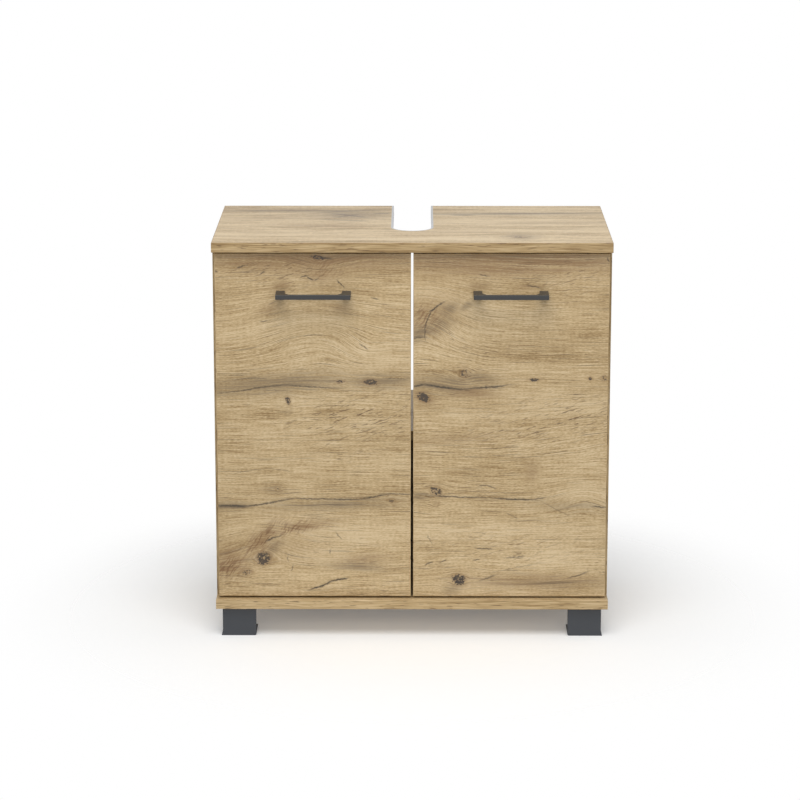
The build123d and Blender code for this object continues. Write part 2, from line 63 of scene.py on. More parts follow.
MM = 0.001
X, Y, Z = 0, 1, 2

# Camera, at the photograph's viewing angle
CAMERA_PLACE = (0.0036, -4.4735, 1.4055)
CAMERA_PITCH = 12.834
CAMERA_TURN = 0.2887
LENS = 132.64
SENSOR = 36.0
LENS_SHIFT_UP = -0.0375

# Light: shares of a level at which a colour renders about as it is written, elevations in degrees
Softbox = namedtuple("Softbox", "share elevation distance size")
KEY = Softbox(0.64, 57.0, 2.6, (2.0, 1.5))
FILL = Softbox(0.22, 18.0, 4.0, (2.4, 1.6))
SKY_SHARE = 0.34
FLOOR_GLOW = 0.14
FLOOR_RADIUS, FLOOR_SIDES, FLOOR_FADE = 3.0, 64, (0.22, 0.70)
WHITE, BLACK = (1.0, 1.0, 1.0, 1.0), (0.0, 0.0, 0.0, 1.0)


def srgb(red, green, blue):
    """Linear colour of a screen colour from 0 to 255."""
    linear = []
    for part in (red, green, blue):
        share = part / 255
        linear.append(share / 12.92 if share <= 0.04045 else ((share + 0.055) / 1.055) ** 2.4)
    return (*linear, 1.0)


def add_object(name, data):
    """New object in the scene."""
    made = bpy.data.objects.new(name, data)
    bpy.context.scene.collection.objects.link(made)
    return made


# Node maths

def operators(operation):
    """An operator of Value, which adds a Math node, and its reflected form."""
    def plain(self, other):
        return self.graph.math(operation, self, other)

    def reflected(self, other):
        return self.graph.math(operation, other, self)
    return plain, reflected


class Value:
    """One output of a node. Arithmetic on it adds Math nodes."""

    __add__, __radd__ = operators("ADD")
    __sub__, __rsub__ = operators("SUBTRACT")
    __mul__, __rmul__ = operators("MULTIPLY")
    __truediv__, __rtruediv__ = operators("DIVIDE")
    __pow__, __rpow__ = operators("POWER")

    def __init__(self, graph, socket):
        self.graph = graph
        self.socket = socket

    def __abs__(self):
        return self.graph.math("ABSOLUTE", self, 0.0)

    def at_least(self, other):
        return self.graph.math("MAXIMUM", self, other)

    def at_most(self, other):
        return self.graph.math("MINIMUM", self, other)

    def rise(self, low, high):
        """0 below low, 1 above high and smooth between them."""
        return self.graph.node("ShaderNodeMapRange", {"interpolation_type": "SMOOTHSTEP"},
                               {"Value": self, "From Min": low, "From Max": high})


class Graph:
    """A node tree under construction."""

    def __init__(self, tree):
        self.tree = tree

    def node(self, kind, settings, inputs, output=0):
        """Adds a node: its settings first, then the values or links of its sockets."""
        made = self.tree.nodes.new(kind)
        for key, value in settings.items():
            if key == "stops":
                self.set_stops(made.color_ramp.elements, value)
            else:
                setattr(made, key, value)
        for key, value in inputs.items():
            self.put(made.inputs[key], value)
        return Value(self, made.outputs[output])

    def set_stops(self, elements, stops):
        while len(elements) < len(stops):
            elements.new(1.0)
        for element, (position, colour) in zip(elements, stops):
            element.position = position
            element.color = colour

    def put(self, socket, value):
        """Sets a socket, or links it to a value, or to several where it takes them."""
        if isinstance(value, Value):
            self.tree.links.new(value.socket, socket)
        elif socket.is_multi_input:
            for part in value:
                self.tree.links.new(part.socket, socket)
        else:
            socket.default_value = value

    def math(self, operation, first, second):
        return self.node("ShaderNodeMath", {"operation": operation}, {0: first, 1: second})

    def vector_math(self, operation, *inputs, output=0):
        return self.node("ShaderNodeVectorMath", {"operation": operation}, dict(enumerate(inputs)), output)

    def vector(self, x, y, z):
        return self.node("ShaderNodeCombineXYZ", {}, {"X": x, "Y": y, "Z": z})

    def parts(self, vector):
        """The x, y and z of a vector."""
        split = self.node("ShaderNodeSeparateXYZ", {}, {"Vector": vector})
        return [Value(self, socket) for socket in split.socket.node.outputs]


class Finish(Graph):
    """One material under construction, on a Principled shader."""

    def __init__(self, name):
        self.material = bpy.data.materials.new(name)
        self.material.use_nodes = True
        super().__init__(self.material.node_tree)
        self.shader = self.tree.nodes["Principled BSDF"]

    def set(self, **inputs):
        """Sets the shader's own sockets, named with underscores."""
        for name, value in inputs.items():
            self.put(self.shader.inputs[name.replace("_", " ")], value)

    def place(self):
        """Object coordinates in millimetres."""
        spot = self.node("ShaderNodeTexCoord", {}, {}, "Object")
        return self.vector_math("MULTIPLY", spot, [1 / MM] * 3)

    def slope(self, axis):
        """How far the surface faces along one of the object's own axes, from -1 to 1."""
        return self.parts(self.node("ShaderNodeTexCoord", {}, {}, "Normal"))[axis]

    def noise(self, vector, scale=1.0, detail=2.0, roughness=0.5, output=0):
        return self.node("ShaderNodeTexNoise", {},
                         {"Vector": vector, "Scale": scale, "Detail": detail, "Roughness": roughness}, output)

    def streaks(self, layer, along, across, seed, output=0):
        """Noise stretched to a layer's length and width."""
        grid = self.vector(along / layer.length, across / layer.width, seed + layer.seed)
        return self.noise(grid, detail=layer.detail, output=output)

    def ramp(self, stops, share):
        """Colour at a share of the way along a ramp."""
        return self.node("ShaderNodeValToRGB", {"stops": stops}, {"Fac": share})

    def mix(self, factor, first, second):
        """Mix of two colours, which are the Mix node's inputs 6 and 7 and its output 2."""
        return self.node("ShaderNodeMix", {"data_type": "RGBA"}, {0: factor, 6: first, 7: second}, 2)

    def bump(self, height, strength, depth_mm):
        return self.node("ShaderNodeBump", {},
                         {"Strength": strength, "Distance": depth_mm * MM, "Height": height})


# Oak decor. Places and half sizes are millimetres along and across the grain of one board, tilts degrees

Swell = namedtuple("Swell", "along across length width rise")
Mark = namedtuple("Mark", "along across length width dark tilt", defaults=(0,))
Figure = namedtuple("Figure", ("swells", "knots", "cracks", "grey_stains", "brown_stains", "pale_zones",
                               "pore_zones", "curl_zones", "slant"))


def crack(along, across, end_along, end_across, width, dark):
    """Crack from one place on the board to another."""
    run, rise = end_along - along, end_across - across
    return Mark(along + run / 2, across + rise / 2, math.hypot(run, rise) / 2, width, dark,
                math.degrees(math.atan2(rise, run)))


DOOR_FIGURE = Figure(
    swells=(
        Swell(-147, 478, 90, 58, 32), Swell(-72, 450, 34, 26, -10), Swell(12, 495, 62, 62, 42),
        Swell(262, 222, 45, 26, 16), Swell(-140, 578, 45, 22, -12), Swell(30, 345, 110, 45, 18),
        Swell(320, 330, 150, 55, 30), Swell(-235, 150, 60, 40, 18),
    ),
    knots=(
        Mark(-109, 400, 7, 3, 0.7), Mark(-63, 400, 10, 5, 0.85), Mark(-187, 371, 4, 7, 0.75, 10),
        Mark(-31, 215, 7, 4, 0.55, -20), Mark(-227, 123, 11, 10, 1.0, 20), Mark(-253, 100, 9, 5, 0.6, 10),
        Mark(17, 377, 10, 7, 0.95, -25), Mark(183, 404, 9, 3, 0.75), Mark(268, 406, 4, 3, 0.7),
        Mark(289, 406, 6, 5, 0.5, 30), Mark(37, 230, 11, 7, 0.7, -40), Mark(35, 210, 5, 5, 0.4, 30),
        Mark(72, 90, 12, 9, 1.0, -20), Mark(78, 414, 7, 9, 0.55), Mark(-203, 233, 6, 4, 0.5),
        Mark(-140, 591, 14, 4, 0.7, -10),
    ),
    cracks=(
        crack(-296, 382, -190, 397, 1.3, 0.7), crack(-198, 396, -112, 390, 1.2, 0.65),
        crack(-228, 386, -188, 387, 1.0, 0.5), crack(-275, 403, -215, 406, 0.9, 0.4),
        crack(-48, 406, 0, 406, 1.2, 0.55), crack(-112, 556, -103, 545, 1.3, 0.8),
        crack(-296, 207, -250, 205, 2.2, 0.8), crack(-260, 204, -176, 218, 1.6, 0.75),
        crack(-186, 218, -70, 217, 1.4, 0.75), crack(-80, 217, -29, 226, 1.5, 0.75),
        crack(-38, 226, 2, 225, 1.3, 0.7), crack(-273, 258, -212, 266, 0.9, 0.4),
        crack(-221, 266, -186, 261, 0.9, 0.4), crack(-223, 150, -200, 160, 1.4, 0.8),
        crack(-155, 73, -122, 87, 2.0, 0.95), crack(-128, 86, -99, 92, 1.7, 0.9),
        crack(49, 524, 25, 508, 1.6, 0.85), crack(28, 511, 18, 482, 1.3, 0.75),
        crack(18, 488, 21, 462, 1.0, 0.6), crack(-2, 468, 19, 469, 1.5, 0.6),
        crack(-2, 393, 20, 397, 1.7, 0.85), crack(15, 397, 80, 388, 1.8, 0.9),
        crack(70, 388, 150, 396, 1.5, 0.8), crack(24, 222, 128, 219, 1.4, 0.7),
        crack(118, 219, 190, 216, 1.7, 0.8), crack(182, 216, 203, 220, 1.1, 0.6),
        crack(100, 238, 116, 240, 1.3, 0.55), crack(112, 240, 128, 235, 1.3, 0.6),
        crack(272, 206, 298, 204, 1.4, 0.65), crack(200, 212, 242, 190, 0.9, 0.35),
        crack(239, 92, 270, 103, 1.4, 0.65), crack(103, 88, 129, 98, 1.7, 0.55),
        crack(122, 102, 192, 115, 0.9, 0.4),
        crack(-262, 575, -253, 579, 1.3, 0.8), crack(-256, 578, -246, 580, 1.1, 0.6),
        crack(-226, 567, -219, 570, 1.3, 0.7), crack(-297, 572, -291, 568, 1.5, 0.7),
        crack(-168, 561, -156, 564, 1.2, 0.7), crack(-158, 562, -148, 557, 1.3, 0.8),
        crack(-146, 556, -141, 560, 1.1, 0.6), crack(-142, 593, -121, 589, 1.6, 0.85),
        crack(-60, 531, -50, 528, 1.2, 0.6), crack(-215, 520, -203, 525, 1.1, 0.5),
        crack(-228, 493, -216, 495, 1.1, 0.5), crack(-78, 460, -67, 451, 1.2, 0.6),
        crack(-116, 164, -108, 154, 1.2, 0.6), crack(-183, 113, -184, 104, 1.1, 0.6),
        crack(-191, 128, -189, 118, 1.1, 0.5), crack(-124, 138, -125, 129, 1.0, 0.5),
        crack(172, 549, 192, 545, 1.3, 0.7), crack(102, 566, 116, 563, 1.1, 0.6),
        crack(290, 592, 297, 584, 1.3, 0.7), crack(96, 141, 124, 138, 1.2, 0.7),
        crack(20, 113, 32, 118, 1.4, 0.7), crack(44, 117, 52, 121, 1.4, 0.7),
        crack(92, 121, 102, 122, 1.3, 0.65), crack(146, 125, 172, 127, 1.2, 0.6),
        crack(144, 195, 160, 187, 1.0, 0.5), crack(24, 160, 28, 148, 1.0, 0.5),
    ),
    grey_stains=(
        Mark(-205, 396, 110, 16, 0.8, 4), Mark(-50, 402, 60, 11, 0.75), Mark(-115, 210, 95, 10, 0.6, 3),
        Mark(-275, 206, 34, 7, 0.7), Mark(-212, 140, 16, 8, 0.7, 35), Mark(-210, 233, 16, 8, 0.6),
        Mark(-85, 110, 50, 7, 0.5, -4), Mark(36, 487, 26, 11, 0.85, 20), Mark(56, 512, 15, 9, 0.75, 30),
        Mark(80, 517, 12, 5, 0.7, 35), Mark(102, 404, 30, 9, 0.8, -5), Mark(46, 398, 50, 13, 0.85),
        Mark(16, 478, 22, 10, 0.9, 30),
        Mark(10, 222, 18, 7, 0.65), Mark(241, 205, 60, 10, 0.4, -4), Mark(213, 84, 85, 6, 0.4),
        Mark(63, 76, 16, 9, 0.5, 20),
    ),
    brown_stains=(
        Mark(-286, 108, 26, 14, 0.85, 10), Mark(-230, 152, 34, 11, 0.85, 45), Mark(-172, 173, 50, 8, 0.8, 8),
        Mark(-140, 588, 24, 7, 0.8), Mark(-135, 570, 30, 16, 0.6), Mark(-196, 548, 14, 8, 0.6, 20),
        Mark(-214, 514, 17, 8, 0.5, 20), Mark(-109, 516, 15, 8, 0.45, -20), Mark(101, 548, 18, 6, 0.5),
        Mark(181, 547, 26, 5, 0.6), Mark(80, 578, 120, 11, 0.6), Mark(60, 312, 80, 9, 0.3, 5),
        Mark(182, 260, 12, 18, 0.4), Mark(-250, 582, 70, 7, 0.5), Mark(-75, 122, 40, 10, 0.5, 5),
        # The two widest brown marks, bands along the top of both doors just under the top panel, are painted
        # shade of the top panel's overhang.
        Mark(190, 87, 110, 12, 0.6), Mark(230, 578, 90, 8, 0.5), Mark(-150, 590, 190, 22, 0.65),
        Mark(150, 588, 190, 24, 0.9), Mark(-278, 120, 30, 22, 0.8, 10), Mark(-190, 138, 70, 24, 0.2, 12),
        Mark(88, 384, 40, 8, 0.7, -3), Mark(24, 496, 40, 26, 0.5, 30), Mark(17, 377, 16, 11, 0.6, -20),
    ),
    pale_zones=(
        Mark(170, 150, 150, 60, 0.65), Mark(230, 360, 110, 25, 0.5), Mark(50, 310, 60, 26, 0.4),
        Mark(-60, 290, 200, 30, 0.15), Mark(-130, 120, 130, 70, 0.35), Mark(-220, 228, 120, 32, 0.4),
    ),
    pore_zones=(
        Mark(-80, 345, 120, 40, 1.0, 8), Mark(210, 337, 120, 34, 1.0, 8), Mark(-200, 568, 80, 20, 0.9),
        Mark(230, 560, 90, 26, 0.7), Mark(140, 140, 150, 26, 0.55),
    ),
    curl_zones=(
        Mark(-228, 152, 42, 15, 1.0, 40), Mark(-180, 172, 44, 10, 0.9, 12), Mark(-284, 108, 26, 18, 1.0, 10),
        Mark(-130, 574, 26, 14, 0.6), Mark(20, 500, 22, 24, 0.8, 20),
    ),
    slant=18.0,
)
TOP_FIGURE = Figure(
    swells=(Swell(-101, 80, 90, 40, 26), Swell(170, -90, 70, 30, 14), Swell(-200, -60, 90, 40, -18)),
    knots=(Mark(162, -101, 9, 10, 0.6), Mark(-240, 20, 6, 3, 0.3)),
    cracks=(crack(-292, 128, -30, 132, 6.0, 0.4), crack(30, 96, 300, 112, 6.0, 0.45),
            crack(-150, 112, -62, 138, 7.0, 0.45), crack(-128, 108, -66, 66, 6.0, 0.45),
            crack(-120, 70, -84, 98, 6.0, 0.4), crack(-142, 50, -70, 38, 6.0, 0.4),
            crack(-60, 104, -34, 108, 6.0, 0.5), crack(60, 92, 96, 88, 6.0, 0.5)),
    grey_stains=(Mark(-98, 92, 60, 34, 0.75), Mark(162, -100, 26, 24, 0.8),
                 Mark(160, 104, 150, 13, 0.6), Mark(-190, 128, 110, 10, 0.6)),
    brown_stains=(Mark(-140, -4, 60, 10, 0.5), Mark(220, 20, 80, 10, 0.4),
                  Mark(-200, 60, 90, 8, 0.4), Mark(60, -60, 110, 8, 0.35)),
    pale_zones=(Mark(160, 0, 260, 220, 0.55), Mark(-200, -40, 200, 90, 0.25)),
    pore_zones=(Mark(-150, -40, 120, 50, 0.4),),
    curl_zones=(Mark(-95, 80, 40, 30, 0.5),),
    slant=4.0,
)
PLAIN_FIGURE = Figure(
    swells=(Swell(-120, 60, 120, 50, 24), Swell(170, -40, 90, 40, -20)),
    knots=(Mark(140, 30, 8, 5, 0.6), Mark(-190, -60, 6, 4, 0.5, 10)),
    cracks=(crack(60, 34, 190, 26, 1.2, 0.5), crack(-230, -62, -150, -66, 1.0, 0.4)),
    grey_stains=(Mark(140, 30, 60, 9, 0.4),),
    brown_stains=(Mark(-190, -60, 40, 10, 0.35),),
    pale_zones=(Mark(-40, -90, 160, 40, 0.2),),
    pore_zones=(Mark(0, 90, 150, 30, 0.8, 5),),
    curl_zones=(Mark(140, 30, 30, 16, 0.7, 20),),
    slant=8.0,
)
SIDE_FIGURE = Figure(
    swells=(Swell(230, 20, 150, 45, 26), Swell(470, -60, 120, 40, -22)),
    knots=(Mark(180, -40, 9, 5, 0.7), Mark(430, 70, 6, 4, 0.6), Mark(520, -30, 5, 3, 0.5)),
    cracks=(crack(130, -42, 260, -36, 1.3, 0.6), crack(400, 72, 500, 76, 1.1, 0.5)),
    grey_stains=(Mark(190, -40, 70, 10, 0.45), Mark(440, 72, 60, 8, 0.35)),
    brown_stains=(Mark(330, 100, 90, 12, 0.3), Mark(520, -30, 50, 10, 0.3)),
    pale_zones=(Mark(300, -110, 180, 40, 0.2),),
    pore_zones=(Mark(330, 10, 140, 34, 0.9, 6),),
    curl_zones=(Mark(180, -40, 34, 18, 0.7, 20),),
    slant=10.0,
)

OAK_TONES = (
    (0.0, srgb(138, 111, 70)), (0.28, srgb(164, 137, 95)), (0.5, srgb(186, 160, 117)),
    (0.72, srgb(201, 176, 134)), (1.0, srgb(217, 194, 155)),
)
OAK_PORE = srgb(96, 72, 46)
OAK_CURL = srgb(118, 85, 54)
OAK_GREY = srgb(130, 111, 83)
OAK_BROWN = srgb(136, 105, 68)
KNOT_DARK = srgb(58, 49, 41)
CRACK_DARK = srgb(62, 53, 42)
CHIPBOARD_TONES = ((0.25, srgb(150, 122, 86)), (0.5, srgb(190, 162, 122)), (0.75, srgb(215, 192, 156)))

# Layers of streaks: length, width, a seed of their own, detail, depth, and the levels where marks fade in
Layer = namedtuple("Layer", "length width seed detail depth edge", defaults=(1.0, (0.0, 1.0)))
WAVES = Layer(260, 110, 0.0, 1, 18)
RIPPLE = Layer(60, 35, 3.1, 2, 3)
CLOUDS = Layer(190, 70, 8.3, 2, 0.7)
RINGS = Layer(420, 26, 0.0, 2, 0.7)
BANDS = Layer(160, 7.5, 1.7, 2, 0.2)
FIBRES = Layer(120, 1.6, 2.9, 1, 0.4)
HAIRS = Layer(48, 1.1, 4.3, 1, 1.7)
GRIT = Layer(5, 1.1, 2.3, 2, 1.3)
RAYS = Layer(5, 24, 9.9, 1, 0.25)
RAGGED = Layer(26, 18, 5.5, 2, (9.0, 5.0))
JAGGED = Layer(4.0, 2.8, 5.9, 2, (4.5, 3.0))
PORE_GROUPS = Layer(90, 30, 7.7, 1, edge=(0.52, 0.7))
LEVEL_PORES = Layer(17, 1.5, 6.1, 1, 0.6, (0.62, 0.67))
RISING_PORES = Layer(16, 1.9, 6.9, 1, edge=(0.61, 0.67))
CURLS = Layer(14, 2.6, 4.7, 1, 0.8, (0.5, 0.62))
HAIRLINES = Layer(70, 1.3, 3.7, 1, 0.5, (0.64, 0.74))
SPECKS = Layer(2.8, 2.1, 6.7, 2, 3.2, (0.36, 0.72))
BAND_WAVES = Layer(120, 30, 0.0, 1, 10)
BAND_RINGS = Layer(300, 12, 1.3, 2, 0.7)
BAND_FIBRES = Layer(50, 1.6, 2.9, 2, 1.7)
BAND_PORES = Layer(16, 1.5, 4.1, 1, 0.75, (0.61, 0.72))

# Strengths of the oak's tones and marks
MIDDLE_TONE, PALE_DEPTH = 0.59, 0.4
PATCH_GAIN, PATCH_LEVEL = 3.0, 2.6
STAIN_MOST, PORE_MOST, CRACK_MOST = 0.9, 0.95, 0.95
LEAST_PORES = 0.35
HALO_GAIN, HALO_MOST = 1.2, 0.55
SPECK_LEVEL = 0.4
KNOT_COVER, KNOT_HAIR_COVER = 0.75, 0.35
CRACK_COVER, CRACK_BAND_COVER, CRACK_HAIR_COVER = 0.5, 0.7, 0.6

# Shapes of the oak's marks
BELL_BASE = 0.37
CURL_SLANT = 52.0
CRACK_SHARPNESS = 1.6
KNOT_MIDDLE_MOST, KNOT_MIDDLE_SIZE, KNOT_MIDDLE_SHARPNESS = 0.6, 16, 9.0
KNOT_REACH, KNOT_STRETCH, KNOT_PUSH, KNOT_SOFTNESS = 1.5, 1.4, 0.5, 1 / 3
FACE_EDGE = (0.4, 0.6)

# Roughness and relief of the boards
CHIPBOARD_ROUGHNESS, DECOR_GLOSS, BAND_ROUGHNESS, FIBRE_ROUGHNESS = 0.86, 0.5, 0.42, 0.16
FIBRE_RELIEF, HAIR_RELIEF = 0.5, 0.4


def door_marks(figure, side):
    """The marks of both doors' figure that lie on one door."""
    sign = -1 if side == "left" else 1
    kept = [[mark for mark in marks if mark.along * sign > 0] for marks in figure[:-1]]
    return Figure(*kept, figure.slant)


def varied(base, *layers):
    """A value that each layer of noise moves up and down by its depth."""
    for noise, depth in layers:
        base = base + (noise - 0.5) * depth
    return base


def fall(square):
    """Bell curve of a squared distance."""
    return BELL_BASE ** square


def local_frame(finish, spot, mark, length, width, tilt=0.0):
    """Distances from a mark's middle along and across its tilt, as shares of its half sizes."""
    turn = math.radians(tilt)
    ways = ((math.cos(turn), math.sin(turn), length), (-math.sin(turn), math.cos(turn), width))
    distances = []
    for run, aside, size in ways:
        weights = (run / size, aside / size, -(mark.along * run + mark.across * aside) / size)
        distances.append(finish.vector_math("DOT_PRODUCT", spot, weights, output="Value"))
    return distances


def bell(finish, spot, mark, tilt=0.0):
    """1 in a mark's middle, falling off all round."""
    run, aside = local_frame(finish, spot, mark, mark.length, mark.width, tilt)
    return fall(run * run + aside * aside)


def knot_bend(finish, spot, knot):
    """Push of the rings to both sides of a knot."""
    reach = KNOT_REACH * knot.width
    run, aside = local_frame(finish, spot, knot, KNOT_STRETCH * reach, reach)
    return aside * (KNOT_PUSH * reach) / (run * run + aside * aside + KNOT_SOFTNESS)


def stain_patch(finish, spot, stain):
    """Soft patch."""
    return bell(finish, spot, stain, stain.tilt) * stain.dark


def knot_core(finish, spot, knot):
    """Dark patch, which has a lighter middle on a wide knot."""
    run, aside = local_frame(finish, spot, knot, knot.length, knot.width, knot.tilt)
    square = run * run + aside * aside
    middle = min(KNOT_MIDDLE_MOST, min(knot.length, knot.width) / KNOT_MIDDLE_SIZE)
    return (fall(square) - middle * fall(KNOT_MIDDLE_SHARPNESS * square)) * knot.dark


def crack_line(finish, spot, line):
    """Thin line that fades at its ends."""
    run, aside = local_frame(finish, spot, line, line.length, line.width, line.tilt)
    square = run * run
    return fall(square * square + CRACK_SHARPNESS * (aside * aside)) * line.dark


class OakBoard(Finish):
    """Rustic oak decor on one board. Each step paints one kind of mark over the colour so far.

    The flat place ends in 1, so that one dot product gives a shifted and turned distance.
    """

    def __init__(self, name, axes, figure, seed):
        super().__init__(name)
        self.figure, self.seed = figure, seed
        self.spot = self.place()
        spread = self.parts(self.spot)
        self.along, self.across = spread[axes[0]], spread[axes[1]]
        self.flat = self.vector(self.along, self.across, 1.0)
        self.field = self.grain_field()
        self.bands, self.fibres, self.hairs = [self.grain(layer) for layer in (BANDS, FIBRES, HAIRS)]
        self.patchy = ((self.fibres + self.hairs) * PATCH_GAIN + self.bands - PATCH_LEVEL).at_least(0.0)
        self.ragged = self.shaken(self.flat, RAGGED)
        self.jagged = self.shaken(self.ragged, JAGGED)

    def level(self, layer, output=0):
        """Streaks that run straight along the board."""
        return self.streaks(layer, self.along, self.across, self.seed, output)

    def grain(self, layer):
        """Streaks that follow the growth rings."""
        return self.streaks(layer, self.along, self.field, self.seed)

    def slanted(self, layer, along, across, slant):
        """Dashes at a slant to the board's length."""
        turn = math.radians(slant)
        run = along * math.cos(turn) + across * math.sin(turn)
        aside = across * math.cos(turn) - along * math.sin(turn)
        return self.streaks(layer, run, aside, self.seed).rise(*layer.edge)

    def grain_field(self):
        """Millimetres across the growth rings: lines of one value are the grain."""
        lift = sum(bell(self, self.flat, swell) * swell.rise for swell in self.figure.swells)
        lift = sum((knot_bend(self, self.flat, knot) for knot in self.figure.knots), lift)
        waves = [(self.level(layer), layer.depth) for layer in (WAVES, RIPPLE)]
        return varied(self.across, *waves) - lift

    def shaken(self, spot, layer):
        """Places moved about by up to half a layer's depth, so that marks get ragged edges."""
        reach = (*layer.depth, 0.0)
        moved = self.vector_math("MULTIPLY_ADD", self.level(layer, "Color"), reach, spot)
        return self.vector_math("SUBTRACT", moved, [part / 2 for part in reach])

    def darkest(self, shape, marks, spot):
        """The darkest of several marks at each place."""
        deep = shape(self, spot, marks[0])
        for mark in marks[1:]:
            deep = deep.at_least(shape(self, spot, mark))
        return deep

    def zone(self, patches):
        """Soft patches, for what shows only there."""
        return self.darkest(stain_patch, patches, self.flat)

    def bare(self, ring_depth, band_depth):
        """Colour of the grain without marks."""
        tone = varied(MIDDLE_TONE, (self.level(CLOUDS), CLOUDS.depth), (self.grain(RINGS), ring_depth),
                      (self.bands, band_depth), (self.fibres, FIBRES.depth), (self.hairs, HAIRS.depth),
                      (self.grain(GRIT), GRIT.depth), (self.level(RAYS), RAYS.depth))
        return self.ramp(OAK_TONES, tone + self.zone(self.figure.pale_zones) * PALE_DEPTH)

    def stained(self, colour):
        """Brown and grey stains, and brown bands of painted shade where a figure has them, broken up by the
        grain.
        """
        for stains, stain in ((self.figure.brown_stains, OAK_BROWN), (self.figure.grey_stains, OAK_GREY)):
            patch = self.darkest(stain_patch, stains, self.ragged)
            colour = self.mix((patch * self.patchy).at_most(STAIN_MOST), colour, stain)
        return colour

    def pores(self):
        """Short dashes: level ones in groups, and rising ones in the figure's zones."""
        groups = self.grain(PORE_GROUPS)
        level = self.grain(LEVEL_PORES).rise(*LEVEL_PORES.edge)
        level = level * groups.rise(*PORE_GROUPS.edge) * LEVEL_PORES.depth
        rising = self.slanted(RISING_PORES, self.along, self.across, self.figure.slant)
        return level.at_least(rising * self.zone(self.figure.pore_zones) * (LEAST_PORES + groups))

    def curled(self, colour):
        """Curly grain in the figure's zones, and thin dark lines along the grain."""
        wavy = self.parts(self.ragged)
        curls = self.slanted(CURLS, wavy[X], wavy[Y], CURL_SLANT) * self.zone(self.figure.curl_zones)
        colour = self.mix(curls * CURLS.depth, colour, OAK_CURL)
        hairlines = self.grain(HAIRLINES).rise(*HAIRLINES.edge)
        return self.mix(hairlines * HAIRLINES.depth, colour, CRACK_DARK)

    def knotted(self, colour):
        """Speckled dark knots, each in a brown halo."""
        deep = self.darkest(knot_core, self.figure.knots, self.jagged)
        halo = (deep * HALO_GAIN).at_most(HALO_MOST)
        colour = self.mix(halo * self.patchy.at_most(1.0), colour, OAK_BROWN)
        specks = self.level(SPECKS) * SPECKS.depth - SPECK_LEVEL
        cores = (deep * specks).rise(*SPECKS.edge)
        return self.mix(cores * (KNOT_COVER + KNOT_HAIR_COVER * self.hairs), colour, KNOT_DARK)

    def cracked(self, colour):
        """Thin cracks, broken up by the grain."""
        cover = CRACK_COVER + self.bands * CRACK_BAND_COVER + self.hairs * CRACK_HAIR_COVER
        cracks = self.darkest(crack_line, self.figure.cracks, self.jagged)
        return self.mix((cracks * cover).at_most(CRACK_MOST), colour, CRACK_DARK)


def oak(name, axes, face, figure, seed, ring_depth=RINGS.depth, band_depth=BANDS.depth):
    """Oak decor on chipboard: axes are the board's along and across axes, face the one it is thin on."""
    board = OakBoard(name, axes, figure, seed)
    pores = board.pores()
    colour = board.stained(board.bare(ring_depth, band_depth))
    colour = board.mix((pores * PORE_MOST).at_most(PORE_MOST), colour, OAK_PORE)
    colour = board.cracked(board.knotted(board.curled(colour)))
    chips = board.noise(board.spot, scale=0.45, detail=3.0, roughness=0.65)
    decor = abs(board.slope(face)).rise(*FACE_EDGE)
    relief = board.fibres * FIBRE_RELIEF + board.hairs * HAIR_RELIEF - pores
    board.set(Base_Color=board.mix(decor, board.ramp(CHIPBOARD_TONES, chips), colour),
              Roughness=CHIPBOARD_ROUGHNESS - decor * (DECOR_GLOSS - board.fibres * FIBRE_ROUGHNESS),
              Normal=board.bump(relief, strength=0.25, depth_mm=0.25))
    return board.material


def oak_band(name, run_axes, across_axis, seed, level=0.5):
    """Edge band in the same decor; its grain runs along the edge on every side of the board."""
    finish = Finish(name)
    spread = finish.parts(finish.place())
    along = sum(spread[axis] for axis in run_axes)
    across = spread[across_axis]
    field = varied(across, (finish.streaks(BAND_WAVES, along, across, seed), BAND_WAVES.depth))
    rings = finish.streaks(BAND_RINGS, along, field, seed)
    fibres = finish.streaks(BAND_FIBRES, along, field, seed)
    pores = finish.streaks(BAND_PORES, along, field, seed).rise(*BAND_PORES.edge)
    colour = finish.ramp(OAK_TONES, varied(level, (rings, BAND_RINGS.depth), (fibres, BAND_FIBRES.depth)))
    finish.set(Base_Color=finish.mix(pores * BAND_PORES.depth, colour, OAK_PORE),
               Roughness=BAND_ROUGHNESS + fibres * FIBRE_ROUGHNESS,
               Normal=finish.bump(fibres - pores, strength=0.2, depth_mm=0.2), Specular_IOR_Level=0.4)
    return finish.material


# Other finishes

CLOUD_SHARE = 0.6
STREAK_SCALE, CROSS_SCALE = 0.05, 1.4
DULL_SHARE = 0.82


def shaded(colour, share):
    """A colour made darker or lighter."""
    return (*[min(1.0, part * share) for part in colour[:3]], 1.0)


def grained(name, colour, roughness, grain_mm, depth_mm, mottle):
    """Moulded plastic or powder coat: a fine grained skin with faint mottling."""
    finish = Finish(name)
    place = finish.place()
    grain = finish.noise(place, scale=1 / grain_mm, detail=2.0)
    cloud = finish.noise(place, scale=0.06, detail=3.0)
    dark, light = shaded(colour, 1 - mottle), shaded(colour, 1 + mottle)
    finish.set(Base_Color=finish.mix(CLOUD_SHARE * cloud + (1 - CLOUD_SHARE) * grain, dark, light),
               Roughness=varied(roughness, (grain, 0.2)),
               Normal=finish.bump(grain, strength=0.35, depth_mm=depth_mm))
    return finish.material


def plated(name, colour, roughness, streak_axis):
    """Plated steel with faint drawn streaks."""
    finish = Finish(name)
    place = finish.place()
    scales = [STREAK_SCALE if axis == streak_axis else CROSS_SCALE for axis in (X, Y, Z)]
    streaks = finish.noise(finish.vector_math("MULTIPLY", place, scales), detail=3.0)
    spots = finish.noise(place, scale=0.25, detail=2.0)
    finish.set(Base_Color=finish.mix(spots.rise(0.35, 0.7), shaded(colour, DULL_SHARE), colour),
               Roughness=varied(roughness, (streaks, 0.25)),
               Normal=finish.bump(streaks, strength=0.1, depth_mm=0.05), Metallic=1.0)
    return finish.material


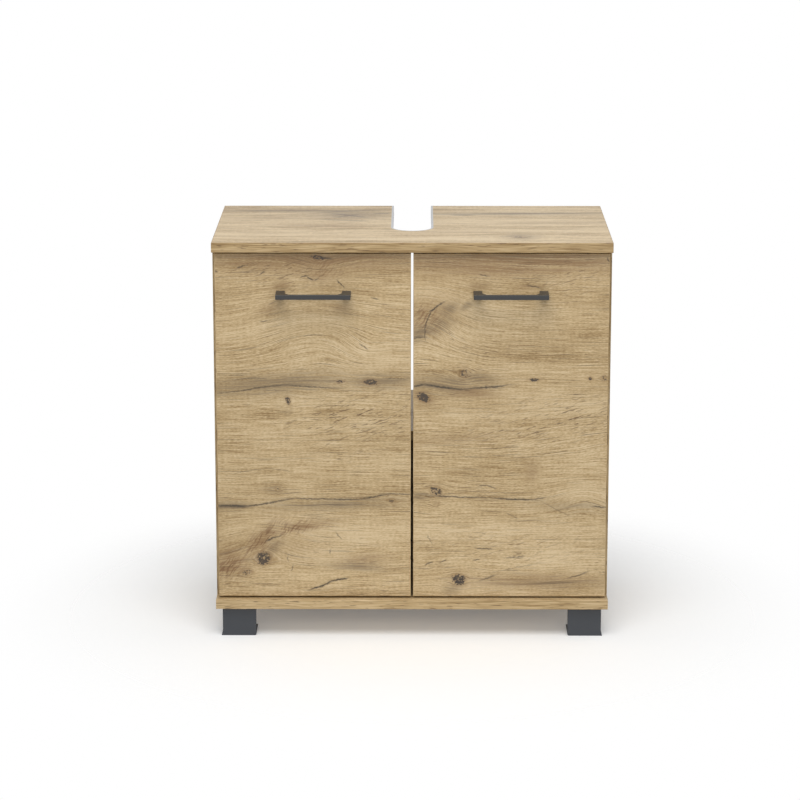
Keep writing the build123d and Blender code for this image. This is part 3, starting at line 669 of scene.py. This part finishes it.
def back_board(name):
    """Thin fibreboard: paper inside, raw fibres outside."""
    finish = Finish(name)
    place = finish.place()
    fibres = finish.noise(place, scale=0.35, detail=4.0, roughness=0.7)
    cloud = finish.noise(place, scale=0.02, detail=2.0)
    raw = finish.mix(fibres.rise(0.3, 0.7), srgb(118, 84, 54), srgb(160, 124, 86))
    paper = finish.mix(cloud, srgb(196, 178, 148), srgb(208, 192, 164))
    outside = finish.slope(Y).rise(-FACE_EDGE[1], -FACE_EDGE[0])
    finish.set(Base_Color=finish.mix(outside, paper, raw), Roughness=varied(0.62, (fibres, 0.3)),
               Normal=finish.bump(fibres, strength=0.3, depth_mm=0.2))
    return finish.material


def beech(name):
    """Dowel wood with short flecks."""
    finish = Finish(name)
    place = finish.place()
    flecks = finish.noise(place, scale=0.9, detail=3.0)
    finish.set(Base_Color=finish.mix(flecks.rise(0.35, 0.65), srgb(196, 150, 108), srgb(222, 184, 142)),
               Roughness=varied(0.6, (flecks, 0.2)),
               Normal=finish.bump(flecks, strength=0.2, depth_mm=0.2))
    return finish.material


def dress(material, *names):
    """Gives CAD nodes their finish."""
    for name in names:
        mesh = nodes[name].data
        mesh.materials.clear()
        mesh.materials.append(material)


SIDES, LEVELS = ("left", "right"), ("upper", "lower")
HINGES = [f"{level}_{side}_hinge" for level in LEVELS for side in SIDES]
HANDLES = [f"{side}_handle" for side in SIDES]
FEET = [f"{end}_{side}_foot" for end in ("front", "rear") for side in SIDES]

zinc = plated("zinc_plate", srgb(196, 199, 204), roughness=0.34, streak_axis=X)
for side in SIDES:
    dress(oak(f"oak_{side}_door", (X, Z), Y, door_marks(DOOR_FIGURE, side), seed=3.7), f"{side}_door")
dress(oak("oak_top", (X, Y), Z, TOP_FIGURE, seed=11.2, ring_depth=1.5, band_depth=1.0), "top_panel")
dress(oak("oak_shelves", (X, Y), Z, PLAIN_FIGURE, seed=23.9), "bottom_panel", "shelf")
dress(oak("oak_sides", (Z, Y), X, SIDE_FIGURE, seed=31.4), "left_side_panel", "right_side_panel")
dress(oak_band("oak_band_top", (X, Y), Z, seed=41.5, level=0.3), "top_panel_edge_band")
dress(oak_band("oak_band_level", (X, Y), Z, seed=44.2), "bottom_panel_edge_band", "shelf_edge_band")
dress(oak_band("oak_band_doors", (X, Z), Y, seed=47.3), "left_door_edge_band", "right_door_edge_band")
dress(oak_band("oak_band_upright", (Z,), X, seed=53.6), "left_side_edge_band", "right_side_edge_band")
dress(back_board("fibreboard"), "back_panel")
dress(grained("grey_edging", srgb(190, 191, 193), roughness=0.45, grain_mm=0.5, depth_mm=0.03, mottle=0.03),
      "cutout_edging")
dress(grained("anthracite_foot", srgb(58, 61, 66), roughness=0.5, grain_mm=0.6, depth_mm=0.06, mottle=0.1),
      *FEET)
dress(grained("anthracite_coat", srgb(45, 45, 45), roughness=0.4, grain_mm=0.35, depth_mm=0.04, mottle=0.08),
      *HANDLES)
dress(plated("nickel_plate", srgb(206, 203, 196), roughness=0.26, streak_axis=Y),
      *[f"{hinge}_{piece}" for hinge in HINGES for piece in ("arm", "plate", "cup")])
dress(zinc, *[f"{side}_hinge_pins" for side in SIDES])


# Screws, nails, bolts, cams and dowels: each set is one Geometry Nodes shape on its own points

ROUND_SIDES, THREAD_STEPS, RIDGE_SIDES = 24, 16, 3
WELD = 0.001 * MM
SHARP_ANGLE = 35.0
SAME_DIGITS = 5

# Sizes that a CAD solid's steps give, from its thicker end
SCREW_SIZES = ("Head height", "Head radius", "Grip", "Thread radius")
NAIL_SIZES = ("Head height", "Head radius", "Length", "Shank radius")
BOLT_SIZES = ("Head length", "Head radius", "Neck length", "Neck radius", "Shaft length", "Shaft radius",
              "Thread length", "Thread radius")
DOWEL_SIZES = ("Length", "Radius")
CAM_SIZES = ("Radius", "Depth", "Pocket level")

# Sizes that the CAD solids don't have
WOOD_SCREW = {"Pitch": 1.5 * MM, "Tip length": 4.0 * MM, "Tip radius": 0.15 * MM}
MACHINE_SCREW = {"Pitch": 0.9 * MM, "Tip length": 0.6 * MM, "Tip radius": 1.1 * MM}
CAM_BOLT = {"Pitch": 1.4 * MM}
CAM_CROSS, CAM_CROSS_WIDTH, CAM_CROSS_DEPTH = 7.0 * MM, 1.3 * MM, 1.5 * MM
CAM_CROSS_SEARCH = 0.6 * CAM_CROSS
CAM_RIM, CAM_POCKET_RADIUS = 0.5 * MM, 3.9 * MM
CAM_POCKET_OFFSET = 0.4

# Heads as rings of (share of the height, share of the radius)
PAN_HEAD = ((0.0, 0.0), (0.0, 0.55), (0.16, 0.8), (0.45, 0.95), (0.8, 1.0), (1.0, 0.97))
NAIL_HEAD = ((0.0, 0.0), (0.0, 0.4), (0.3, 0.8), (0.7, 1.0), (1.0, 1.0))
BOLT_HEAD = ((0.0, 0.0), (0.0, 0.6), (0.3, 1.0), (0.7, 1.0))

# Drivers' crosses: span and width as shares of a head's radius, depth as a share of its height
PAN_CROSS, BOLT_CROSS = (1.05, 0.24, 0.62), (0.9, 0.2, 0.3)

# Shares of a radius or length
SCREW_CORE, SCREW_PLAIN_LENGTH = 0.72, 0.2
BOLT_CORE, BOLT_BEVEL = 0.78, 0.15
NAIL_POINT = 4
DOWEL_FLUTES, FLUTE_BOTTOM = 16, 0.93

Seat = namedtuple("Seat", "place way aside")
Turned = namedtuple("Turned", "seat lengths radii")


class Shape(Graph):
    """A Geometry Nodes tree that sets one shape on every point of a mesh.

    The shape starts at height 0 of its own Z axis, which turns to the point's "way".
    """

    def __init__(self, name, *sizes):
        super().__init__(bpy.data.node_groups.new(name, "GeometryNodeTree"))
        self.identifiers = {}
        self.add_input("Places", "NodeSocketGeometry")
        for size in sizes:
            self.add_input(size, "NodeSocketFloat")
        self.add_input("Material", "NodeSocketMaterial")
        self.tree.interface.new_socket("Geometry", in_out="OUTPUT", socket_type="NodeSocketGeometry")
        self.inlet = self.tree.nodes.new("NodeGroupInput")

    def add_input(self, name, kind):
        socket = self.tree.interface.new_socket(name, in_out="INPUT", socket_type=kind)
        self.identifiers[name] = socket.identifier

    def inputs(self, *names):
        return [Value(self, self.inlet.outputs[name]) for name in names]

    def moved(self, mesh, x, y, z, turn=(0.0, 0.0, 0.0)):
        return self.node("GeometryNodeTransform", {},
                         {"Geometry": mesh, "Translation": self.vector(x, y, z), "Rotation": turn})

    def joined(self, meshes):
        return self.node("GeometryNodeJoinGeometry", {}, {"Geometry": meshes})

    def lathe(self, rings):
        """Turned shape through rings of (height, radius), closed by a first and last one on the axis."""
        walls = []
        for (low, near), (high, far) in zip(rings, rings[1:]):
            wall = self.node("GeometryNodeMeshCone", {"fill_type": "NONE"},
                             {"Vertices": ROUND_SIDES, "Radius Bottom": near, "Radius Top": far,
                              "Depth": high - low})
            walls.append(self.moved(wall, 0.0, 0.0, low))
        return self.node("GeometryNodeMergeByDistance", {},
                         {"Geometry": self.joined(walls), "Distance": WELD})

    def swept(self, line, section):
        """Closed solid of one section along a line."""
        return self.node("GeometryNodeCurveToMesh", {},
                         {"Curve": line, "Profile Curve": section, "Fill Caps": True})

    def thread(self, low, length, core, depth, pitch):
        """Ridge that winds round a core."""
        line = self.node("GeometryNodeCurveSpiral", {},
                         {"Resolution": THREAD_STEPS, "Rotations": length / pitch, "Start Radius": core,
                          "End Radius": core, "Height": length, "Reverse": False})
        ridge = self.node("GeometryNodeCurvePrimitiveCircle", {"mode": "RADIUS"},
                          {"Resolution": RIDGE_SIDES, "Radius": depth})
        return self.moved(self.swept(line, ridge), 0.0, 0.0, low)

    def cross(self, span, width, depth):
        """Two crossed blocks that cut a driver's recess into a face at height 0."""
        blocks = [self.vector(x, y, 2 * depth) for x, y in ((span, width), (width, span))]
        return [self.node("GeometryNodeMeshCube", {}, {"Size": block}) for block in blocks]

    def head_cross(self, shares, height, radius):
        """Driver's recess of a head."""
        span, width, depth = shares
        return self.cross(radius * span, radius * width, height * depth)

    def cut(self, mesh, tools):
        return self.node("GeometryNodeMeshBoolean", {"operation": "DIFFERENCE", "solver": "EXACT"},
                         {"Mesh 1": mesh, "Mesh 2": tools})

    def turned_to(self, name, axis, settings, inputs):
        """Rotation that turns one axis to a direction kept on the points."""
        way = self.node("GeometryNodeInputNamedAttribute", {"data_type": "FLOAT_VECTOR"}, {"Name": name})
        return self.node("FunctionNodeAlignRotationToVector", {"axis": axis, **settings},
                         {"Vector": way, **inputs})

    def set_on_points(self, mesh, with_aside=False):
        """Ends the tree: the shape on every point, as one mesh with its material."""
        places, material = self.inputs("Places", "Material")
        turn = self.turned_to("way", "Z", {}, {})
        if with_aside:
            turn = self.turned_to("aside", "X", {"pivot_axis": "Z"}, {"Rotation": turn})
        copies = self.node("GeometryNodeInstanceOnPoints", {},
                           {"Points": places, "Instance": mesh, "Rotation": turn})
        whole = self.node("GeometryNodeRealizeInstances", {}, {"Geometry": copies})
        dressed = self.node("GeometryNodeSetMaterial", {}, {"Geometry": whole, "Material": material})
        outlet = self.tree.nodes.new("NodeGroupOutput")
        self.put(outlet.inputs["Geometry"], dressed)
        return self


def head_rings(shares, height, radius):
    """Rings of a head from its shares of a height and a radius."""
    return [(height * up, radius * out) for up, out in shares]


def threaded_screw():
    """Pan-head screw with a cross recess."""
    shape = Shape("threaded_screw", *SCREW_SIZES, *WOOD_SCREW)
    height, head, grip, outer = shape.inputs(*SCREW_SIZES)
    pitch, tip, tip_radius = shape.inputs("Pitch", "Tip length", "Tip radius")
    core = outer * SCREW_CORE
    end = height + grip
    plain = grip * SCREW_PLAIN_LENGTH
    body = shape.lathe([*head_rings(PAN_HEAD, height, head), (height, core), (end - tip, core),
                        (end, tip_radius), (end, 0.0)])
    body = shape.cut(body, shape.head_cross(PAN_CROSS, height, head))
    ridge = shape.thread(height + plain, grip - plain - tip, core, outer - core, pitch)
    return shape.set_on_points(shape.joined((body, ridge)))


def domed_nail():
    """Nail with a low domed head."""
    shape = Shape("domed_nail", *NAIL_SIZES)
    height, head, length, shank = shape.inputs(*NAIL_SIZES)
    end = height + length
    return shape.set_on_points(shape.lathe([*head_rings(NAIL_HEAD, height, head), (height, shank),
                                            (end - NAIL_POINT * shank, shank), (end, 0.0)]))


def cam_bolt():
    """Bolt with a threaded end, and a neck and head for its cam."""
    shape = Shape("cam_bolt", *BOLT_SIZES, *CAM_BOLT)
    sizes = shape.inputs(*BOLT_SIZES)
    head_length, neck_length, shaft_length, thread_length = sizes[0::2]
    head, neck, shaft, outer = sizes[1::2]
    neck_end = head_length + neck_length
    shaft_end = neck_end + shaft_length
    end = shaft_end + thread_length
    core = outer * BOLT_CORE
    depth = outer - core
    bevel = shaft * BOLT_BEVEL
    body = shape.lathe([*head_rings(BOLT_HEAD, head_length, head), (head_length, neck), (neck_end, neck),
                        (neck_end, shaft - bevel), (neck_end + bevel, shaft), (shaft_end, shaft),
                        (shaft_end, core), (end, core), (end, 0.0)])
    body = shape.cut(body, shape.head_cross(BOLT_CROSS, head_length, head))
    ridge = shape.thread(shaft_end + depth, thread_length - 2 * depth, core, depth, *shape.inputs("Pitch"))
    return shape.set_on_points(shape.joined((body, ridge)))


def slotted_cam():
    """Cam with a driver's cross and a side pocket for the bolt's head."""
    shape = Shape("slotted_cam", *CAM_SIZES)
    radius, depth, level = shape.inputs(*CAM_SIZES)
    body = shape.lathe(((0.0, 0.0), (0.0, radius - CAM_RIM), (CAM_RIM, radius), (depth, radius),
                        (depth, 0.0)))
    pocket = shape.node("GeometryNodeMeshCylinder", {},
                        {"Vertices": ROUND_SIDES, "Radius": CAM_POCKET_RADIUS, "Depth": radius * 2})
    pocket = shape.moved(pocket, radius * CAM_POCKET_OFFSET, 0.0, level, (0.0, math.pi / 2, 0.0))
    cross = shape.cross(CAM_CROSS, CAM_CROSS_WIDTH, CAM_CROSS_DEPTH)
    return shape.set_on_points(shape.cut(body, [*cross, pocket]), with_aside=True)


def fluted_dowel():
    """Dowel with lengthwise flutes."""
    shape = Shape("fluted_dowel", *DOWEL_SIZES)
    length, radius = shape.inputs(*DOWEL_SIZES)
    section = shape.node("GeometryNodeCurveStar", {},
                         {"Points": DOWEL_FLUTES, "Inner Radius": radius * FLUTE_BOTTOM,
                          "Outer Radius": radius, "Twist": 0.0})
    line = shape.node("GeometryNodeCurvePrimitiveLine", {"mode": "POINTS"},
                      {"Start": (0.0, 0.0, 0.0), "End": shape.vector(0.0, 0.0, length)})
    return shape.set_on_points(shape.swept(line, section))


def solids_of(node):
    """Corners of each separate solid in a CAD node."""
    copy = bmesh.new()
    copy.from_mesh(nodes[node].data)
    bmesh.ops.remove_doubles(copy, verts=copy.verts, dist=WELD)
    waiting = dict.fromkeys(copy.verts)
    solids = []
    while waiting:
        reached = [waiting.popitem()[0]]
        for corner in reached:
            for edge in corner.link_edges:
                other = edge.other_vert(corner)
                if other in waiting:
                    del waiting[other]
                    reached.append(other)
        solids.append([corner.co.copy() for corner in reached])
    copy.free()
    return solids


def box_of(corners):
    """Lowest and highest corner of a solid's box."""
    return [Vector([pick(corner[axis] for corner in corners) for axis in (X, Y, Z)]) for pick in (min, max)]


def off_axis(corner, middle, axis):
    """A corner's distance from the axis through a solid's middle."""
    aside = corner - middle
    aside[axis] = 0.0
    return aside.length


def measure(corners, axis):
    """A turned solid's steps along an axis, from its thicker end."""
    low, high = box_of(corners)
    middle = (low + high) / 2
    levels = {}
    for corner in corners:
        radius = round(off_axis(corner, middle, axis), SAME_DIGITS)
        levels.setdefault(round(corner[axis], SAME_DIGITS), set()).add(radius)
    heights = sorted(levels)
    steps = list(zip(heights, heights[1:]))
    lengths = [top - bottom for bottom, top in steps]
    radii = [max(levels[bottom] & levels[top]) for bottom, top in steps]
    start, way = middle.copy(), Vector()
    start[axis], way[axis] = heights[0], 1.0
    if radii[-1] > radii[0]:
        start[axis], way[axis] = heights[-1], -1.0
        lengths.reverse()
        radii.reverse()
    return Turned(Seat(start, way, Vector()), lengths, radii)


def measured(node):
    """Every turned solid of a CAD node, measured along its longest side."""
    found = []
    for corners in solids_of(node):
        low, high = box_of(corners)
        found.append(measure(corners, max((X, Y, Z), key=lambda axis: high[axis] - low[axis])))
    return found


def set_out(shape, node, adjective, finish, seats, sizes):
    """Sets a shape at a CAD node's seats, as one piece that stands for the node."""
    points = bpy.data.meshes.new(node + "_places")
    points.from_pydata([seat.place for seat in seats], [], [])
    for name in ("way", "aside"):
        kept = points.attributes.new(name, "FLOAT_VECTOR", "POINT")
        for spot, seat in zip(kept.data, seats):
            spot.vector = getattr(seat, name)
    carrier = add_object(node + "_places", points)
    modifier = carrier.modifiers.new("shape", "NODES")
    modifier.node_group = shape.tree
    for name, size in {**sizes, "Material": finish}.items():
        modifier[shape.identifiers[name]] = size
    drawn = carrier.evaluated_get(bpy.context.evaluated_depsgraph_get())
    mesh = bpy.data.meshes.new_from_object(drawn)
    bpy.data.objects.remove(carrier)
    mesh.shade_smooth()
    mesh.set_sharp_from_angle(angle=math.radians(SHARP_ANGLE))
    piece = add_object(f"{adjective}_{node}", mesh)
    members = frame["record"]["behaviour"]["bodies"]
    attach(piece, next(body for body in members if node in members[body]))
    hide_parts(node)


def set_turned(shape, node, adjective, finish, names, extra):
    """Sets a turned shape at a CAD node's solids, with its steps' sizes under the given names."""
    solids = measured(node)
    steps = [size for pair in zip(solids[0].lengths, solids[0].radii) for size in pair]
    set_out(shape, node, adjective, finish, [solid.seat for solid in solids],
            {**dict(zip(names, steps)), **extra})


def cross_at(corners, axis, level, middle):
    """Whether a cam's cross is cut in its end at this level."""
    end = [corner for corner in corners if abs(corner[axis] - level) < WELD]
    return any(off_axis(corner, middle, axis) < CAM_CROSS_SEARCH for corner in end)


def set_cams(shape, node, finish):
    """Sets the cams, each with its pocket towards the nearest bolt."""
    bolts = [sum(box_of(corners), Vector()) / 2 for corners in solids_of("cam_bolts")]
    seats = []
    for corners in solids_of(node):
        low, high = box_of(corners)
        axis = min((X, Y, Z), key=lambda part: high[part] - low[part])
        middle = (low + high) / 2
        bolt = min(bolts, key=lambda spot: (spot - middle).length)
        place, way, aside = middle.copy(), Vector(), bolt - middle
        place[axis] = low[axis]
        way[axis], aside[axis] = 1.0, 0.0
        if not cross_at(corners, axis, low[axis], middle):
            place[axis], way[axis] = high[axis], -1.0
        seats.append(Seat(place, way, aside.normalized()))
    sizes = (max(high - low) / 2, high[axis] - low[axis], abs((bolt - place)[axis]))
    set_out(shape, node, "slotted", finish, seats, dict(zip(CAM_SIZES, sizes)))


screw = threaded_screw()
for node in ("foot_screws", "hinge_plate_screws", "left_cup_screws", "right_cup_screws"):
    set_turned(screw, node, "threaded", zinc, SCREW_SIZES, WOOD_SCREW)
for node in ("hinge_arm_screws", "left_handle_screws", "right_handle_screws"):
    set_turned(screw, node, "threaded", zinc, SCREW_SIZES, MACHINE_SCREW)
set_turned(domed_nail(), "back_panel_nails", "domed", zinc, NAIL_SIZES, {})
set_turned(cam_bolt(), "cam_bolts", "threaded", zinc, BOLT_SIZES, CAM_BOLT)
set_turned(fluted_dowel(), "wood_dowels", "fluted", beech("beech"), DOWEL_SIZES, {})
set_cams(slotted_cam(), "cam_locks", zinc)


# Floor, light and camera

def make_floor():
    """Pale floor that fades out into the white round it and is clear from below."""
    mesh = bpy.data.meshes.new("floor")
    disc = bmesh.new()
    bmesh.ops.create_circle(disc, cap_ends=True, segments=FLOOR_SIDES, radius=FLOOR_RADIUS)
    disc.to_mesh(mesh)
    disc.free()
    floor = add_object("floor", mesh)
    finish = Finish("pale_floor")
    seen = finish.node("ShaderNodeLightPath", {}, {}, "Is Camera Ray")
    finish.set(Base_Color=srgb(247, 247, 246), Roughness=0.9, Specular_IOR_Level=0.1,
               Emission_Color=finish.mix(seen, BLACK, WHITE), Emission_Strength=FLOOR_GLOW)
    spot = finish.node("ShaderNodeTexCoord", {}, {}, "Object")
    away = finish.vector_math("LENGTH", spot, output="Value")
    below = finish.node("ShaderNodeNewGeometry", {}, {}, "Backfacing")
    surface = Value(finish, finish.shader.outputs[0])
    clear = finish.node("ShaderNodeBsdfTransparent", {}, {})
    shown = finish.node("ShaderNodeMixShader", {},
                        {0: away.rise(*FLOOR_FADE).at_least(below), 1: surface, 2: clear})
    finish.put(finish.tree.nodes["Material Output"].inputs["Surface"], shown)
    mesh.materials.append(finish.material)


def make_sky():
    """White to the camera and in reflections, a soft even light otherwise."""
    world = bpy.data.worlds.new("studio")
    bpy.context.scene.world = world
    world.use_nodes = True
    graph = Graph(world.node_tree)
    seen = graph.node("ShaderNodeLightPath", {}, {}, "Is Camera Ray")
    for kind in ("Is Glossy Ray", "Is Transmission Ray"):
        seen = seen.at_least(graph.node("ShaderNodeLightPath", {}, {}, kind))
    background = graph.tree.nodes["Background"]
    graph.put(background.inputs["Color"], WHITE)
    graph.put(background.inputs["Strength"], SKY_SHARE + (1.0 - SKY_SHARE) * seen)


def make_softbox(name, softbox):
    """Soft lamp in front of the unit, aimed at its middle."""
    lamp = bpy.data.lights.new(name, "AREA")
    lamp.shape = "RECTANGLE"
    lamp.size, lamp.size_y = softbox.size
    lamp.energy = softbox.share * (math.pi * softbox.distance) ** 2
    box = add_object(name, lamp)
    low, high = cad_box
    slope = math.radians(softbox.elevation)
    away = Vector((0.0, -math.cos(slope), math.sin(slope)))
    box.location = (low + high) / 2 + away * softbox.distance
    box.rotation_euler = away.to_track_quat("Z", "Y").to_euler()


def make_camera():
    """Camera at the photograph's viewing angle."""
    lens = bpy.data.cameras.new("camera")
    lens.lens, lens.sensor_width = LENS, SENSOR
    lens.shift_y = LENS_SHIFT_UP
    camera = add_object("camera", lens)
    camera.location = CAMERA_PLACE
    camera.rotation_euler = (math.radians(90 - CAMERA_PITCH), 0.0, math.radians(CAMERA_TURN))
    bpy.context.scene.camera = camera


make_floor()
make_sky()
make_softbox("key_softbox", KEY)
make_softbox("fill_softbox", FILL)
make_camera()
bpy.context.scene.view_settings.view_transform = "Standard"
